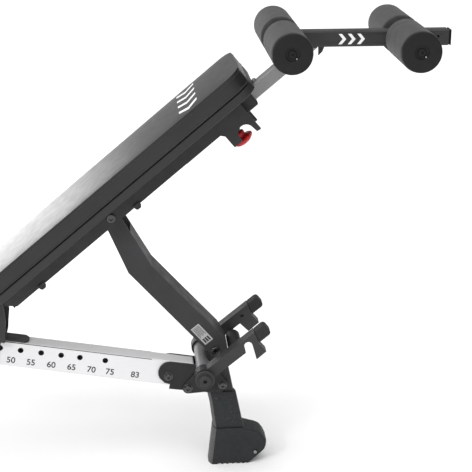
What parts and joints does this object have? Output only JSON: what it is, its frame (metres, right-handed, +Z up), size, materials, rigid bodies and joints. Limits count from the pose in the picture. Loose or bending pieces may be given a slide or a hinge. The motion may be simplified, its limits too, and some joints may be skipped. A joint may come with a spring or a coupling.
{
  "type": "decline sit up bench",
  "caption": "Adjustable decline sit up bench: sloping rail on a front leg and rear stabiliser, padded back rest held by a strut and sliding carriage, and a telescoping foam roller bar.",
  "frame": {"origin": "centre of the bounding box, on the floor", "axes": "+X along the bench towards the roller end, +Y across it away from the side that carries the locking pin, +Z up"},
  "size_m": [1.76, 0.674, 1.213],
  "materials": {
    "powder_coat": "fine-textured black powder coat",
    "zinc": "zinc plated",
    "black_plastic": "fine grained",
    "rubber": "matte",
    "rail_steel": "satin, light",
    "tube_steel": "satin, mid grey",
    "foam": "closed-cell foam",
    "vinyl": "satin imitation leather",
    "knob_red": "gloss"
  },
  "bodies": {
    "frame": {"rail": "rail_steel", "side_plate_near": "powder_coat", "side_plate_far": "powder_coat", "front_leg": "powder_coat", "leg_sleeve": "black_plastic", "foot_moulding": "black_plastic", "foot_screw": "zinc", "hub_tube": "powder_coat", "hub_bracket_near": "powder_coat", "hub_bracket_far": "powder_coat", "hub_end_bolt_near": "powder_coat", "hub_end_bolt_far": "powder_coat", "rail_bolt": "zinc", "bracket_bolt_rear": "powder_coat", "bracket_bolt_front": "powder_coat", "strut_pivot_bolt": "zinc", "rear_leg": "powder_coat", "rear_stabiliser": "powder_coat", "stabiliser_boot_near": "rubber", "stabiliser_boot_far": "rubber", "wheel_axle": "zinc"},
    "wheel_near": {"transport_wheel_near": "rubber"},
    "wheel_far": {"transport_wheel_far": "rubber"},
    "fork": {"fork_arm_near": "powder_coat", "fork_arm_far": "powder_coat", "fork_bumper_near": "rubber", "fork_bumper_far": "rubber", "fork_cross_roller": "black_plastic"},
    "strut": {"strut": "powder_coat", "beam_pivot_bolt": "zinc"},
    "backrest": {"beam_channel": "powder_coat", "beam_end_plate": "powder_coat", "carriage_pivot_bolt": "zinc", "extension_sleeve": "powder_coat", "pull_pin_barrel": "zinc", "pad_base_shell": "black_plastic", "back_pad": "vinyl"},
    "pull_pin": {"red_pull_knob": "knob_red"},
    "extension": {"extension_tube": "tube_steel", "roller_bar": "powder_coat", "bar_end_cap": "black_plastic", "roller_tube_1": "zinc", "roller_tube_2": "zinc"},
    "carriage": {"carriage_sleeve": "powder_coat", "carriage_saddle": "powder_coat", "seat_pivot_bolt": "zinc"},
    "pop_pin": {"pop_pin": "black_plastic"},
    "seat": {"seat_tube": "powder_coat", "seat_shell": "black_plastic", "seat_pad": "vinyl"},
    "roller_1_near": {"foam_roller_1_near": "foam", "end_cap_roller_1_near": "black_plastic"},
    "roller_1_far": {"foam_roller_1_far": "foam", "end_cap_roller_1_far": "black_plastic"},
    "roller_2_near": {"foam_roller_2_near": "foam", "end_cap_roller_2_near": "black_plastic"},
    "roller_2_far": {"foam_roller_2_far": "foam", "end_cap_roller_2_far": "black_plastic"}
  },
  "joints": [
    {"name": "strut_swing", "type": "hinge", "parent": "frame", "child": "strut", "pos_m": [0.2822, 0, 0.3425], "axis": [0, 1, 0], "range_deg": [-32.78, 16.39]},
    {"name": "backrest_tilt", "type": "hinge", "parent": "strut", "child": "backrest", "pos_m": [0.0173, 0, 0.7188], "axis": [0, 1, 0], "range_deg": [-36.4, 72.8]},
    {"name": "carriage_hinge", "type": "hinge", "parent": "backrest", "child": "carriage", "pos_m": [-0.2855, 0, 0.5052], "axis": [0, 1, 0], "range_deg": [-40, 20]},
    {"name": "seat_tilt", "type": "hinge", "parent": "carriage", "child": "seat", "pos_m": [-0.40193, 0, 0.47902], "axis": [0, 1, 0], "range_deg": [-12, 0]},
    {"name": "pop_pin_slide", "type": "slide", "parent": "carriage", "child": "pop_pin", "axis": [0, -1, 0], "range_m": [0, 0.012], "stiffness_N_per_m": 600, "springref_m": -0.01},
    {"name": "extension_slide", "type": "slide", "parent": "backrest", "child": "extension", "axis": [0.766, 0, 0.6428], "range_m": [-0.02, 0.1]},
    {"name": "pull_pin_slide", "type": "slide", "parent": "backrest", "child": "pull_pin", "axis": [0.6428, 0, -0.766], "range_m": [0, 0.012], "stiffness_N_per_m": 600, "springref_m": -0.01},
    {"name": "fork_swing", "type": "hinge", "parent": "frame", "child": "fork", "pos_m": [0.249, 0, 0.2975], "axis": [0, 1, 0], "range_deg": [0, 25]},
    {"name": "roller_1_near_spin", "type": "hinge", "parent": "extension", "child": "roller_1_near", "pos_m": [0.455, 0, 1.163], "axis": [0, 1, 0], "continuous": true},
    {"name": "roller_1_far_spin", "type": "hinge", "parent": "extension", "child": "roller_1_far", "pos_m": [0.455, 0, 1.163], "axis": [0, 1, 0], "continuous": true},
    {"name": "roller_2_near_spin", "type": "hinge", "parent": "extension", "child": "roller_2_near", "pos_m": [0.761, 0, 1.163], "axis": [0, 1, 0], "continuous": true},
    {"name": "roller_2_far_spin", "type": "hinge", "parent": "extension", "child": "roller_2_far", "pos_m": [0.761, 0, 1.163], "axis": [0, 1, 0], "continuous": true},
    {"name": "wheel_near_spin", "type": "hinge", "parent": "frame", "child": "wheel_near", "pos_m": [-0.848, 0, 0.036], "axis": [0, 1, 0], "continuous": true},
    {"name": "wheel_far_spin", "type": "hinge", "parent": "frame", "child": "wheel_far", "pos_m": [-0.848, 0, 0.036], "axis": [0, 1, 0], "continuous": true}
  ],
  "couplings": [
    {"joint": "backrest_tilt", "follows": "strut_swing", "ratio": -2.22},
    {"joint": "carriage_hinge", "follows": "strut_swing", "ratio": 1.22}
  ]
}
